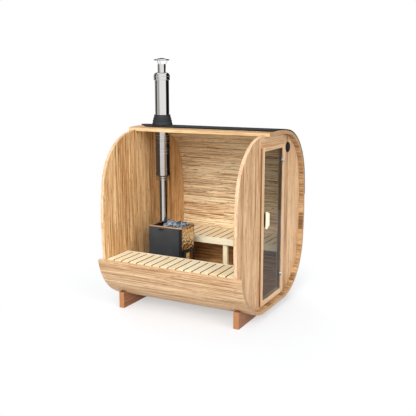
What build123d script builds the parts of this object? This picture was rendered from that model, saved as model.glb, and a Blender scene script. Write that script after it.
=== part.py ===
from build123d import *
import os
from math import atan2, cos, degrees, pi, radians, sin, sqrt

os.makedirs("parts", exist_ok=True)

# A barrel sauna of rounded-square section, cut open along its front to show the inside.
# X runs along the barrel to the door end, -Y is the open front and Z is up from the ground.

# Barrel outline and staves
barrel_length = 1900
barrel_width = 2000
barrel_height = 2117
ground_clearance = 86
widest_height = 1080
crown_radius = 2460
shoulder_radius = 700
wall_radius = 3500
haunch_radius = 670
stave_count = 64
kept_staves = 46
stave_thickness = 42
stave_overhang = 61
stave_joint = 0.4
roof_cut = 254
groove_depth = 18
fit_gap = 0.3
overrun = 40

# Cradles under the barrel
cradle_thickness = 71
cradle_inset = 170
cradle_span = 1490
cradle_height = 205

# Roof cover
cover_thickness = 14
cover_setback = 100
cover_back_height = 1300
cover_clip_length = 190
cover_clip_depth = 195

# End walls and door frame
end_wall_thickness = 40
frame_proud = 20
frame_bottom = 155
jamb_width = 68
head_height = 45
sill_height = 60
header_height = 177
stop_width = 10
stop_depth = 30
leaf_width = 550
glass_thickness = 8
glass_recess = 3
door_gap = 6

# Door hinges and handle
hinge_height = 46
hinge_foot = 188
hinge_head = 150
hinge_reach = 36
hinge_plate = 4
hinge_pin_radius = 7
hinge_pin_standoff = 12
grip_length = 204
grip_width = 72
grip_depth = 22
grip_base = 862
grip_inset = 14
grip_slant = 36
grip_top_slant = 26
backing_thickness = 14
backing_width = 60
backing_length = 150

# Wall vent
vent_radius = 65
vent_cap_radius = 54
vent_stem_radius = 22
vent_flange = 5
vent_slot = 5
vent_cap = 5
vent_drop = 62
vent_share = 0.365

# Benches
slat_count = 16
slat_gap = 15
slat_thickness = 28
rail_thickness = 28
rail_height = 85
bearer_size = 44
bench_leg_width = 66
bench_leg_shift = 75
front_bench_top = 670
front_bench_edge = 490
back_bench_top = 730
back_bench_edge = 385

# Stove
stove_length = 480
stove_depth = 320
stove_height = 827
stove_from_wall = 140
stove_shift = 40
stove_plate = 6
stove_leg = 40
stove_leg_height = 45
rim_height = 16
rim_width = 22
tray_depth = 150
stone_margin = 9
stone_crown = 22
stone_bevel = 40
slot_width = 60
slot_height = 9
slot_drop = 30
fire_door_width = 250
fire_door_height = 330
fire_door_rise = 190
fire_door_thickness = 24
fire_door_stile = 26
fire_door_gap = 6
fire_glass_thickness = 5
fire_pin_radius = 7
fire_knuckle_length = 60
fire_grip_length = 110
fire_grip_radius = 9
fire_grip_standoff = 34

# Flue, chimney and rain cap
flue_shift = 98
flue_diameter = 94
flue_wall = 4
insulated_diameter = 176
insulated_start = 1427
cone_height = 26
seam_width = 14
seam_proud = 4
seam_shares = (0.04, 0.13, 0.53, 0.70)
flue_clearance = 10
flashing_base_diameter = 256
flashing_top_diameter = 202
flashing_height = 128
flashing_wall = 8
chimney_height = 603
collar_diameter = 199
collar_height = 48
collar_shoulder = 45
cap_pipe_diameter = 99
cap_pipe_height = 102
cap_diameter = 193
cap_gap = 45
cap_rim = 12
cap_rise = 18
strut_width = 14
strut_thickness = 4
strut_splay = 30
strut_count = 3
strut_turn = -75

# The outline is four arcs each side, tangent to one another, closed by a flat base
barrel_top = ground_clearance + barrel_height
crown_center = Vector(0, barrel_top - crown_radius)
wall_center = Vector(barrel_width / 2 - wall_radius, widest_height)
crown_to_wall = wall_center - crown_center
crown_reach = crown_radius - shoulder_radius
wall_reach = wall_radius - shoulder_radius
along = (crown_reach**2 - wall_reach**2 + crown_to_wall.length**2) / (2 * crown_to_wall.length)
across = sqrt(crown_reach**2 - along**2)
toward_wall = crown_to_wall.normalized()
shoulder_center = (
    crown_center + toward_wall * along + Vector(toward_wall.Y, -toward_wall.X) * across
)
haunch_height = ground_clearance + haunch_radius
haunch_reach = sqrt((wall_radius - haunch_radius) ** 2 - (haunch_height - widest_height) ** 2)
haunch_center = Vector(wall_center.X + haunch_reach, haunch_height)


def turn_of(direction):
    """Angle of a direction in the section, from straight up towards +Y."""
    return atan2(direction.X, direction.Y)


shoulder_start = turn_of(shoulder_center - crown_center)
wall_start = turn_of(shoulder_center - wall_center)
haunch_start = turn_of(haunch_center - wall_center)
outline_arcs = [
    (crown_center, crown_radius, 0, shoulder_start),
    (shoulder_center, shoulder_radius, shoulder_start, wall_start),
    (wall_center, wall_radius, wall_start, haunch_start),
    (haunch_center, haunch_radius, haunch_start, pi),
]
half_length = sum(radius * (end - start) for _, radius, start, end in outline_arcs) + haunch_center.X
stave_pitch = 2 * half_length / stave_count


def outline_at(distance):
    """Point and outward direction on the outline, at a distance along it from the crown."""
    if distance > half_length:
        distance -= 2 * half_length
    side = 1 if distance >= 0 else -1
    remaining = abs(distance)
    for center, radius, start, end in outline_arcs:
        if remaining <= radius * (end - start):
            angle = start + remaining / radius
            outward = Vector(side * sin(angle), cos(angle))
            return Vector(side * center.X, center.Y) + outward * radius, outward
        remaining -= radius * (end - start)
    return Vector(side * (haunch_center.X - remaining), ground_clearance), Vector(0, -1)


def half_width(height, inset):
    """Half the width of the inset outline at a height on its shoulders, walls or haunches."""
    center, radius = wall_center, wall_radius
    if height > wall_center.Y + wall_radius * cos(wall_start):
        center, radius = shoulder_center, shoulder_radius
    if height < wall_center.Y + wall_radius * cos(haunch_start):
        center, radius = haunch_center, haunch_radius
    return center.X + sqrt((radius - inset) ** 2 - (height - center.Y) ** 2)


def outline_face(inset):
    """The face inside the outline, drawn in by an inset, with Y and Z as its axes."""
    with BuildSketch() as section:
        with BuildLine():
            for center, radius, start, end in outline_arcs:
                CenterArc((center.X, center.Y), radius - inset, 90 - degrees(start), degrees(start - end))
            base = ground_clearance + inset
            Line((haunch_center.X, base), (0, base))
            mirror(about=Plane.YZ)
        make_face()
    return section.sketch


def save(piece, name):
    """Label a finished piece and write it under its node's name."""
    piece.label = name
    export_step(piece, f"parts/{name}.step")


# Places along the barrel that the pieces share
barrel_end = barrel_length / 2
wall_outer = barrel_end - stave_overhang
wall_inner = wall_outer - end_wall_thickness
room_length = 2 * wall_inner
wall_inset = stave_thickness - groove_depth
floor_height = ground_clearance + stave_thickness

# Chimney place, and the hole for it in the roof
stove_back = -wall_inner + stove_from_wall
stove_front = stove_back + stove_length
flue_x = stove_back + flue_shift
flue_place = Plane((flue_x, 0, 0))
roof_hole_radius = insulated_diameter / 2 + flue_clearance

# Cradles: two cross beams, hollowed to the barrel's underside
cradle_spread = barrel_length - 2 * cradle_inset
for name, side in (("stove_end_cradle", -1), ("door_end_cradle", 1)):
    with BuildPart() as cradle:
        with BuildSketch(Plane.YZ.offset(side * cradle_spread / 2 - cradle_thickness / 2)):
            Rectangle(cradle_span, cradle_height, align=(Align.CENTER, Align.MIN))
            add(outline_face(-fit_gap), mode=Mode.SUBTRACT)
        extrude(amount=cradle_thickness)
    save(cradle.part, name)


def stave_corners(index):
    """Section of one stave: flat inside, mitred to its neighbours, long enough to be rounded outside."""
    start, start_out = outline_at(index * stave_pitch - roof_cut)
    end, end_out = outline_at((index + 1) * stave_pitch - roof_cut)
    start += Vector(start_out.Y, -start_out.X) * (stave_joint / 2)
    end -= Vector(end_out.Y, -end_out.X) * (stave_joint / 2)
    corners = [
        start + start_out * overrun,
        end + end_out * overrun,
        end - end_out * stave_thickness,
        start - start_out * stave_thickness,
    ]
    return [(corner.X, corner.Y) for corner in corners]


def room_face(inset):
    """The face inside the staves' flat inner faces, drawn in by an inset."""
    corners = []
    for index in range(stave_count):
        joint, outward = outline_at(index * stave_pitch - roof_cut)
        corner = joint - outward * (stave_thickness + inset)
        corners.append((corner.X, corner.Y))
    with BuildSketch() as section:
        with BuildLine():
            Polyline(*corners, close=True)
        make_face()
    return section.sketch


# Staves in runs, counted from the cut edge of the roof, over the back and under the floor.
# Near both ends a groove, cut to the end wall's own outline, houses the wall.
stave_runs = {
    "roof_staves": (0, 7),
    "shoulder_staves": (7, 13),
    "back_staves": (13, 21),
    "back_haunch_staves": (21, 29),
    "floor_staves": (29, 37),
    "front_haunch_staves": (37, kept_staves),
}
for name, (first, last) in stave_runs.items():
    with BuildPart() as staves:
        with BuildSketch(Plane.YZ.offset(-barrel_end)):
            for index in range(first, last):
                with BuildLine():
                    Polyline(*stave_corners(index), close=True)
                make_face()
            add(outline_face(0), mode=Mode.INTERSECT)
        extrude(amount=barrel_length)
        for groove_start in (-wall_outer - fit_gap, wall_inner - fit_gap):
            with BuildSketch(Plane.YZ.offset(groove_start)):
                add(outline_face(wall_inset - fit_gap))
            extrude(amount=end_wall_thickness + 2 * fit_gap, mode=Mode.SUBTRACT)
        if name == "roof_staves":
            with BuildSketch(flue_place.offset(widest_height)):
                Circle(roof_hole_radius)
            extrude(amount=barrel_height, mode=Mode.SUBTRACT)
    save(staves.part, name)

# Roof cover: one sheet from behind the cut edge, over the crown and down the back, with one corner clipped
cover_front, _ = outline_at(cover_setback - roof_cut)
cover_back = Vector(half_width(cover_back_height, 0), cover_back_height)
cover_heart = Vector(0, widest_height)
front_ray = cover_heart + (cover_front - cover_heart) * 2
back_ray = cover_heart + (cover_back - cover_heart) * 2
with BuildPart() as roof_cover:
    with BuildSketch(Plane.YZ.offset(-barrel_end)):
        add(outline_face(-cover_thickness))
        add(outline_face(-fit_gap), mode=Mode.SUBTRACT)
        with BuildLine():
            Polyline(
                (cover_heart.X, cover_heart.Y),
                (front_ray.X, front_ray.Y),
                (back_ray.X, front_ray.Y),
                (back_ray.X, back_ray.Y),
                close=True,
            )
        make_face(mode=Mode.INTERSECT)
    extrude(amount=barrel_length)
    with BuildSketch(Plane.XY.offset(widest_height)):
        with Locations((flue_x, 0)):
            Circle(roof_hole_radius)
        with BuildLine():
            Polyline(
                (-barrel_end, cover_front.X + cover_clip_depth),
                (cover_clip_length - barrel_end, cover_front.X),
                (cover_clip_length - barrel_end, cover_front.X - overrun),
                (-barrel_end - overrun, cover_front.X - overrun),
                (-barrel_end - overrun, cover_front.X + cover_clip_depth),
                close=True,
            )
        make_face()
    extrude(amount=barrel_height, mode=Mode.SUBTRACT)
save(roof_cover.part, "roof_cover")

# Stove-end wall
with BuildPart() as stove_end_wall:
    with BuildSketch(Plane.YZ.offset(-wall_outer)):
        add(outline_face(wall_inset))
    extrude(amount=end_wall_thickness)
save(stove_end_wall.part, "stove_end_wall")

# Door frame: the opening is the leaf and its running gap all round
opening_width = leaf_width + 2 * door_gap
opening_bottom = frame_bottom + sill_height
frame_half = opening_width / 2 + jamb_width
frame_top = barrel_top - header_height
opening_top = frame_top - head_height
leaf_height = opening_top - opening_bottom - 2 * door_gap
frame_face = wall_outer + frame_proud
frame_depth = frame_face - wall_inner
frame_height = frame_top - frame_bottom
between_jambs = opening_width - 2 * fit_gap
with BuildPart() as door_frame:
    with BuildSketch(Plane.YZ.offset(wall_inner)):
        with Locations((0, frame_bottom)):
            with GridLocations(opening_width + jamb_width, 0, 2, 1):
                Rectangle(jamb_width, frame_height, align=(Align.CENTER, Align.MIN))
        with Locations((0, opening_top)):
            Rectangle(between_jambs, head_height, align=(Align.CENTER, Align.MIN))
        with Locations((0, frame_bottom)):
            Rectangle(between_jambs, sill_height, align=(Align.CENTER, Align.MIN))
    extrude(amount=frame_depth)
save(door_frame.part, "door_frame")

# Door stops: strips inside the jambs and head, behind the shut leaf
glass_outer = frame_face - glass_recess
glass_inner = glass_outer - glass_thickness
stop_front = glass_inner - door_gap
stop_height = opening_top - opening_bottom - 2 * fit_gap
with BuildPart() as door_stops:
    with BuildSketch(Plane.YZ.offset(stop_front - stop_depth)):
        stop_place = (opening_width - stop_width) / 2 - fit_gap
        with Locations((-stop_place, opening_bottom + fit_gap), (stop_place, opening_bottom + fit_gap)):
            Rectangle(stop_width, stop_height, align=(Align.CENTER, Align.MIN))
        with Locations((0, opening_top - fit_gap)):
            head_stop_width = opening_width - 2 * stop_width - 4 * fit_gap
            Rectangle(head_stop_width, stop_width, align=(Align.CENTER, Align.MAX))
    extrude(amount=stop_depth)
save(door_stops.part, "door_stops")

# Door-end wall, in panels beside, over and under the frame
panel_edge = frame_half + fit_gap
panel_width = barrel_width / 2 - panel_edge
header_base = frame_top + fit_gap
footer_height = frame_bottom - fit_gap - ground_clearance
infill_width = 2 * frame_half
for name, side in (("front_door_wall", -1), ("back_door_wall", 1)):
    with BuildPart() as panel:
        with BuildSketch(Plane.YZ.offset(wall_inner)):
            with Locations((side * (panel_edge + panel_width / 2), ground_clearance)):
                Rectangle(panel_width, barrel_height, align=(Align.CENTER, Align.MIN))
            add(outline_face(wall_inset), mode=Mode.INTERSECT)
        extrude(amount=end_wall_thickness)
    save(panel.part, name)
with BuildPart() as door_wall_infill:
    with BuildSketch(Plane.YZ.offset(wall_inner)):
        with Locations((0, header_base)):
            Rectangle(infill_width, barrel_top - header_base, align=(Align.CENTER, Align.MIN))
        with Locations((0, ground_clearance)):
            Rectangle(infill_width, footer_height, align=(Align.CENTER, Align.MIN))
        add(outline_face(wall_inset), mode=Mode.INTERSECT)
    extrude(amount=end_wall_thickness)
save(door_wall_infill.part, "door_wall_infill")

# Glass door leaf
leaf_bottom = opening_bottom + door_gap
with BuildPart() as door_glass:
    with BuildSketch(Plane.YZ.offset(glass_inner)):
        with Locations((0, leaf_bottom)):
            Rectangle(leaf_width, leaf_height, align=(Align.CENTER, Align.MIN))
    extrude(amount=glass_thickness)
save(door_glass.part, "door_glass")

# Door hinges: the lower half is screwed to the jamb, the upper half clamps the glass and lifts off
leaf_edge = leaf_width / 2
pin_x = frame_face + hinge_pin_standoff
pin_y = leaf_edge + door_gap / 2
hinge_half = (hinge_height - fit_gap) / 2
hinge_places = (leaf_bottom + hinge_foot, leaf_bottom + leaf_height - hinge_head)
with BuildPart() as door_hinge_clamps:
    for height in hinge_places:
        with BuildSketch(Plane.XY.offset(height + fit_gap / 2)):
            with Locations((glass_outer + fit_gap, leaf_edge - hinge_reach)):
                Rectangle(hinge_plate, hinge_reach, align=Align.MIN)
            with BuildLine():
                Polyline(
                    (glass_outer + fit_gap, leaf_edge - hinge_reach / 2),
                    (glass_outer + fit_gap, pin_y),
                    (pin_x, pin_y + hinge_pin_radius),
                    (pin_x, pin_y - hinge_pin_radius),
                    close=True,
                )
            make_face()
            with Locations((pin_x, pin_y)):
                Circle(hinge_pin_radius)
        extrude(amount=hinge_half)
        with BuildSketch(Plane.XY.offset(height + fit_gap / 2)):
            with Locations((glass_inner - fit_gap, leaf_edge - hinge_reach)):
                Rectangle(hinge_plate, hinge_reach, align=(Align.MAX, Align.MIN))
        extrude(amount=hinge_half)
save(door_hinge_clamps.part, "door_hinge_clamps")
with BuildPart() as door_hinge_plates:
    for height in hinge_places:
        with BuildSketch(Plane.XY.offset(height - fit_gap / 2)):
            with Locations((frame_face, opening_width / 2)):
                Rectangle(hinge_plate, hinge_reach, align=Align.MIN)
            with BuildLine():
                Polyline(
                    (frame_face, opening_width / 2),
                    (frame_face, opening_width / 2 + hinge_reach / 2),
                    (pin_x, pin_y + hinge_pin_radius),
                    (pin_x, pin_y - hinge_pin_radius),
                    close=True,
                )
            make_face()
            with Locations((pin_x, pin_y)):
                Circle(hinge_pin_radius)
        extrude(amount=-hinge_half)
save(door_hinge_plates.part, "door_hinge_plates")

# Door handle: a flat wooden grip each side with slanted ends, on dark backing plates
grip_start = -leaf_edge + grip_inset
grip_bottom = leaf_bottom + grip_base
backing_bottom = grip_bottom + (grip_length - backing_length) / 2
grip_sides = ((glass_outer, 1), (glass_inner, -1))
with BuildPart() as door_handle_grips:
    for face, side in grip_sides:
        near = face + side * (backing_thickness + 2 * fit_gap)
        with BuildSketch(Plane.YZ.offset(near)):
            with BuildLine():
                Polyline(
                    (grip_start, grip_bottom),
                    (grip_start + grip_width, grip_bottom + grip_slant),
                    (grip_start + grip_width, grip_bottom + grip_length - grip_top_slant),
                    (grip_start, grip_bottom + grip_length),
                    close=True,
                )
            make_face()
        extrude(amount=side * grip_depth)
save(door_handle_grips.part, "door_handle_grips")
with BuildPart() as door_handle_backing:
    for face, side in grip_sides:
        with BuildSketch(Plane.XY.offset(backing_bottom)):
            with Locations((face + side * (fit_gap + backing_thickness / 2), grip_start)):
                Rectangle(backing_thickness, backing_width, align=(Align.CENTER, Align.MIN))
        extrude(amount=backing_length)
save(door_handle_backing.part, "door_handle_backing")

# Wall vent, between the door frame and the rim: a flange and a round cap standing off it on a stem
vent_height = frame_top - vent_drop
vent_room = half_width(vent_height, stave_thickness) - frame_half
vent_offset = frame_half + vent_share * vent_room
with BuildPart() as wall_vent:
    with BuildSketch(Plane.YZ.offset(wall_outer)):
        with Locations((vent_offset, vent_height)):
            Circle(vent_radius)
    extrude(amount=vent_flange)
    with BuildSketch(Plane.YZ.offset(wall_outer)):
        with Locations((vent_offset, vent_height)):
            Circle(vent_stem_radius)
    extrude(amount=vent_flange + vent_slot)
    with BuildSketch(Plane.YZ.offset(wall_outer + vent_flange + vent_slot)):
        with Locations((vent_offset, vent_height)):
            Circle(vent_cap_radius)
    extrude(amount=vent_cap)
save(wall_vent.part, "wall_vent")

# Benches: cross slats between a rail on the aisle and the barrel's wall, on two bearers and a leg
slat_pitch = room_length / slat_count
slat_width = slat_pitch - slat_gap
rail_length = room_length - 2 * fit_gap
benches = (
    ("front", -1, front_bench_top, front_bench_edge),
    ("back", 1, back_bench_top, back_bench_edge),
)
for place, side, top, edge in benches:
    slat_base = top - slat_thickness
    bearer_base = slat_base - bearer_size
    slat_edge = edge + rail_thickness + fit_gap
    slat_length = barrel_width / 2 - slat_edge
    ledger_edge = half_width(bearer_base, stave_thickness) - bearer_size
    ledger_width = barrel_width / 2 - ledger_edge
    with BuildPart() as bench_slats:
        with BuildSketch(Plane.XY.offset(slat_base)):
            with Locations((0, side * (slat_edge + slat_length / 2))):
                with GridLocations(slat_pitch, 0, slat_count, 1):
                    Rectangle(slat_width, slat_length)
        extrude(amount=slat_thickness)
        with BuildSketch(Plane.YZ.offset(-wall_inner)):
            add(room_face(fit_gap))
        extrude(amount=room_length, mode=Mode.INTERSECT)
    save(bench_slats.part, f"{place}_bench_slats")
    with BuildPart() as bench_rails:
        with BuildSketch(Plane.XY.offset(top - rail_height)):
            with Locations((0, side * (edge + rail_thickness / 2))):
                Rectangle(rail_length, rail_thickness)
        extrude(amount=rail_height)
        with BuildSketch(Plane.XY.offset(bearer_base)):
            with Locations((0, side * (slat_edge + bearer_size / 2))):
                Rectangle(rail_length, bearer_size)
            with Locations((0, side * (ledger_edge + ledger_width / 2))):
                Rectangle(rail_length, ledger_width)
        extrude(amount=bearer_size)
        with BuildSketch(Plane.YZ.offset(-wall_inner)):
            add(room_face(fit_gap))
        extrude(amount=room_length, mode=Mode.INTERSECT)
    save(bench_rails.part, f"{place}_bench_rails")
    with BuildPart() as bench_leg:
        with BuildSketch(Plane.XY.offset(ground_clearance)):
            with Locations((bench_leg_shift, side * (slat_edge + bearer_size / 2))):
                Rectangle(bench_leg_width, bearer_size)
        extrude(amount=bearer_base - ground_clearance)
        with BuildSketch(Plane.YZ.offset(-wall_inner)):
            add(room_face(fit_gap))
        extrude(amount=room_length, mode=Mode.INTERSECT)
    save(bench_leg.part, f"{place}_bench_leg")

# Stove casing: four legs, a base, sides and back, with the fire door's face towards the aisle
stove_middle = (stove_back + stove_front) / 2
stove_top = floor_height + stove_height
stove_near = -stove_shift - stove_depth / 2
stove_far = -stove_shift + stove_depth / 2
base_height = floor_height + stove_leg_height
plate_top = stove_top - rim_height
plate_height = plate_top - base_height - stove_plate
inner_depth = stove_depth - 2 * stove_plate
with BuildPart() as stove_base:
    with BuildSketch(Plane.XY.offset(floor_height)):
        with Locations((stove_middle, -stove_shift)):
            with GridLocations(stove_length - stove_leg, stove_depth - stove_leg, 2, 2):
                Rectangle(stove_leg, stove_leg)
    extrude(amount=stove_leg_height)
    with BuildSketch(Plane.XY.offset(base_height)):
        with Locations((stove_middle, -stove_shift)):
            Rectangle(stove_length, stove_depth)
    extrude(amount=stove_plate)
save(stove_base.part, "stove_base")
with BuildPart() as stove_casing:
    with BuildSketch(Plane.XY.offset(base_height + stove_plate)):
        with Locations((stove_middle, -stove_shift)):
            with GridLocations(0, stove_depth - stove_plate, 1, 2):
                Rectangle(stove_length, stove_plate)
    extrude(amount=plate_height)
    with BuildSketch(Plane.XZ.offset(-stove_near)):
        with Locations((stove_middle - slot_width, plate_top - slot_drop)):
            SlotOverall(slot_width, slot_height)
    extrude(amount=-overrun, mode=Mode.SUBTRACT)
    with BuildSketch(Plane.YZ.offset(stove_back)):
        with Locations((-stove_shift, base_height + stove_plate)):
            Rectangle(inner_depth - 2 * fit_gap, plate_height, align=(Align.CENTER, Align.MIN))
    extrude(amount=stove_plate)
save(stove_casing.part, "stove_casing")

# Stove face: a frame round the fire door, with a polished heat shield above it
fire_bottom = floor_height + fire_door_rise
fire_top = fire_bottom + fire_door_height
mouth_width = fire_door_width - 2 * fire_door_stile
mouth_bottom = fire_bottom + fire_door_stile
mouth_top = fire_top - fire_door_stile
face_start = stove_front - stove_plate
face_bottom = base_height + stove_plate
face_width = inner_depth - 2 * fit_gap
cheek_width = (face_width - mouth_width) / 2
with BuildPart() as stove_face:
    with BuildSketch(Plane.YZ.offset(face_start)):
        with Locations((-stove_shift, face_bottom)):
            Rectangle(face_width, mouth_bottom - face_bottom, align=(Align.CENTER, Align.MIN))
        with Locations((-stove_shift, mouth_bottom + fit_gap)):
            with GridLocations(face_width - cheek_width, 0, 2, 1):
                cheek_height = fire_top - mouth_bottom - 2 * fit_gap
                Rectangle(cheek_width, cheek_height, align=(Align.CENTER, Align.MIN))
        with Locations((-stove_shift, mouth_top)):
            lintel_width = mouth_width - 2 * fit_gap
            Rectangle(lintel_width, fire_door_stile - fit_gap, align=(Align.CENTER, Align.MIN))
    extrude(amount=stove_plate)
save(stove_face.part, "stove_face")
with BuildPart() as stove_heat_shield:
    with BuildSketch(Plane.YZ.offset(face_start)):
        with Locations((-stove_shift, fire_top)):
            Rectangle(face_width, plate_top - fire_top, align=(Align.CENTER, Align.MIN))
    extrude(amount=stove_plate)
save(stove_heat_shield.part, "stove_heat_shield")

# Stone tray, its rim and the stones
tray_length = stove_length - 2 * stove_plate - 2 * fit_gap
tray_height = plate_top - tray_depth
with BuildPart() as stone_tray:
    with BuildSketch(Plane.XY.offset(tray_height - stove_plate)):
        with Locations((stove_middle, -stove_shift)):
            Rectangle(tray_length, face_width)
        with Locations((flue_x, 0)):
            Circle(flue_diameter / 2 - flue_wall, mode=Mode.SUBTRACT)
    extrude(amount=stove_plate)
save(stone_tray.part, "stone_tray")
with BuildPart() as stove_rim:
    with BuildSketch(Plane.XY.offset(plate_top)):
        with Locations((stove_middle, -stove_shift)):
            with GridLocations(0, stove_depth - rim_width, 1, 2):
                Rectangle(stove_length, rim_width)
            with GridLocations(stove_length - rim_width, 0, 2, 1):
                Rectangle(rim_width, stove_depth - 2 * rim_width - 2 * fit_gap)
    extrude(amount=rim_height)
save(stove_rim.part, "stove_rim")
stone_start = flue_x + flue_diameter / 2 + stone_margin
stone_end = stove_front - rim_width - stone_margin
stone_width = stove_depth - 2 * (rim_width + stone_margin)
with BuildPart() as stove_stones:
    with BuildSketch(Plane.XY.offset(tray_height)):
        with Locations(((stone_start + stone_end) / 2, -stove_shift)):
            Rectangle(stone_end - stone_start, stone_width)
    extrude(amount=stove_top + stone_crown - tray_height)
    chamfer(stove_stones.faces().sort_by(Axis.Z)[-1].edges(), stone_crown, stone_bevel)
save(stove_stones.part, "stove_stones")

# Fire door: a frame with a window, hung on a pin beside its far stile
door_back = stove_front + fire_door_gap
door_front = door_back + fire_door_thickness
fire_half = fire_door_width / 2
bar_width = fire_door_width - 2 * fire_door_stile - 2 * fit_gap
bar_center = (fire_door_height - fire_door_stile) / 2
fire_middle = (fire_bottom + fire_top) / 2
fire_pin_x = door_front - fire_pin_radius
fire_pin_y = -stove_shift + fire_half + fire_pin_radius + fit_gap
knuckle_places = (fire_bottom + fire_knuckle_length, fire_top - fire_knuckle_length)
with BuildPart() as fire_door_frame:
    with BuildSketch(Plane.YZ.offset(door_back)):
        with Locations((-stove_shift, fire_middle)):
            with GridLocations(fire_door_width - fire_door_stile, 0, 2, 1):
                Rectangle(fire_door_stile, fire_door_height)
            with GridLocations(0, 2 * bar_center, 1, 2):
                Rectangle(bar_width, fire_door_stile)
    extrude(amount=fire_door_thickness)
    for height in knuckle_places:
        with BuildSketch(Plane.XY.offset(height + fit_gap)):
            with Locations((fire_pin_x, fire_pin_y)):
                Circle(fire_pin_radius)
        extrude(amount=fire_knuckle_length / 2 - fit_gap)
save(fire_door_frame.part, "fire_door_frame")
with BuildPart() as fire_door_glass:
    with BuildSketch(Plane.YZ.offset((door_back + door_front - fire_glass_thickness) / 2)):
        with Locations((-stove_shift, fire_middle)):
            Rectangle(bar_width, fire_door_height - 2 * fire_door_stile - 2 * fit_gap)
    extrude(amount=fire_glass_thickness)
save(fire_door_glass.part, "fire_door_glass")
with BuildPart() as fire_hinge_brackets:
    for height in knuckle_places:
        with BuildSketch(Plane.XY.offset(height - fit_gap)):
            with Locations((fire_pin_x, fire_pin_y)):
                Circle(fire_pin_radius)
            with Locations((stove_front, fire_pin_y)):
                Rectangle(fire_pin_x - stove_front, fire_pin_radius, align=(Align.MIN, Align.CENTER))
        extrude(amount=-fire_knuckle_length / 2)
save(fire_hinge_brackets.part, "fire_hinge_brackets")
fire_grip_y = -stove_shift - fire_half + fire_door_stile / 2
with BuildPart() as fire_door_handle:
    with BuildSketch(Plane.XY.offset(fire_middle - fire_grip_length / 2)):
        with Locations((door_front + fire_grip_standoff, fire_grip_y)):
            Circle(fire_grip_radius)
    extrude(amount=fire_grip_length)
    with BuildSketch(Plane.YZ.offset(door_front)):
        with Locations((fire_grip_y, fire_middle)):
            with GridLocations(0, fire_grip_length / 2, 1, 2):
                Circle(fire_grip_radius / 2)
    extrude(amount=fire_grip_standoff)
save(fire_door_handle.part, "fire_door_handle")

# Flue: a bare pipe from the stone tray, then an insulated one up to the roof
insulated_bottom = floor_height + insulated_start
flue_bore = flue_diameter / 2 - flue_wall
flue_top = insulated_bottom + cone_height
roof_surface = barrel_top + cover_thickness
with BuildPart() as flue_pipe:
    with BuildSketch(flue_place.offset(tray_height)):
        Circle(flue_diameter / 2)
        Circle(flue_bore, mode=Mode.SUBTRACT)
    extrude(amount=flue_top - tray_height)
save(flue_pipe.part, "flue_pipe")
insulated_length = roof_surface - flue_top
insulated_bore = flue_diameter / 2 + fit_gap
with BuildPart() as insulated_flue:
    with BuildSketch(Plane((flue_x, 0, 0), x_dir=(1, 0, 0), z_dir=(0, -1, 0))):
        with BuildLine():
            Polyline(
                (insulated_bore, insulated_bottom),
                (insulated_diameter / 2, flue_top),
                (insulated_diameter / 2, roof_surface),
                (insulated_bore, roof_surface),
                close=True,
            )
        make_face()
        for share in seam_shares:
            with Locations((insulated_diameter / 2, flue_top + share * insulated_length)):
                Rectangle(2 * seam_proud, seam_width)
    revolve(axis=Axis((flue_x, 0, 0), (0, 0, 1)))
save(insulated_flue.part, "insulated_flue")

# Roof flashing: a rubber cone seated on the roof cover round the chimney
chimney_radius = insulated_diameter / 2
with BuildPart() as roof_flashing:
    with BuildSketch(Plane((flue_x, 0, 0), x_dir=(1, 0, 0), z_dir=(0, -1, 0))):
        with BuildLine():
            Polyline(
                (chimney_radius + fit_gap, roof_surface - overrun),
                (flashing_base_diameter / 2, roof_surface - overrun),
                (flashing_base_diameter / 2, roof_surface + flashing_wall),
                (flashing_top_diameter / 2, roof_surface + flashing_height - flashing_wall),
                (flashing_top_diameter / 2, roof_surface + flashing_height),
                (chimney_radius + fit_gap, roof_surface + flashing_height),
                close=True,
            )
        make_face()
    revolve(axis=Axis((flue_x, 0, 0), (0, 0, 1)))
    with BuildSketch(Plane.YZ.offset(-barrel_end)):
        add(outline_face(-cover_thickness - fit_gap))
    extrude(amount=barrel_length, mode=Mode.SUBTRACT)
save(roof_flashing.part, "roof_flashing")

# Chimney above the roof: insulated pipe, adapter with a collar and a narrower pipe, struts and rain cap
chimney_top = roof_surface + chimney_height
with BuildPart() as chimney_pipe:
    with BuildSketch(flue_place.offset(roof_surface)):
        Circle(chimney_radius)
        Circle(insulated_bore, mode=Mode.SUBTRACT)
    extrude(amount=chimney_height)
save(chimney_pipe.part, "chimney_pipe")
cap_bore = cap_pipe_diameter / 2 - flue_wall
collar_top = chimney_top + collar_shoulder
collar_bottom = chimney_top - collar_height
pipe_top = collar_top + cap_pipe_height
with BuildPart() as chimney_adapter:
    with BuildSketch(Plane((flue_x, 0, 0), x_dir=(1, 0, 0), z_dir=(0, -1, 0))):
        with BuildLine():
            Polyline(
                (chimney_radius + fit_gap, collar_bottom),
                (collar_diameter / 2, collar_bottom),
                (collar_diameter / 2, chimney_top),
            )
            Spline(
                (collar_diameter / 2, chimney_top),
                (cap_pipe_diameter / 2, collar_top),
                tangents=((0, 1), (-1, 0)),
            )
            Polyline(
                (cap_pipe_diameter / 2, collar_top),
                (cap_pipe_diameter / 2, pipe_top),
                (cap_bore, pipe_top),
                (cap_bore, chimney_top),
                (chimney_radius + fit_gap, chimney_top),
                (chimney_radius + fit_gap, collar_bottom),
            )
        make_face()
    revolve(axis=Axis((flue_x, 0, 0), (0, 0, 1)))
save(chimney_adapter.part, "chimney_adapter")
cap_bottom = pipe_top + cap_gap
strut_foot = cap_pipe_diameter / 2 + fit_gap
strut_bottom = collar_top + cap_pipe_height / 2
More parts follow.
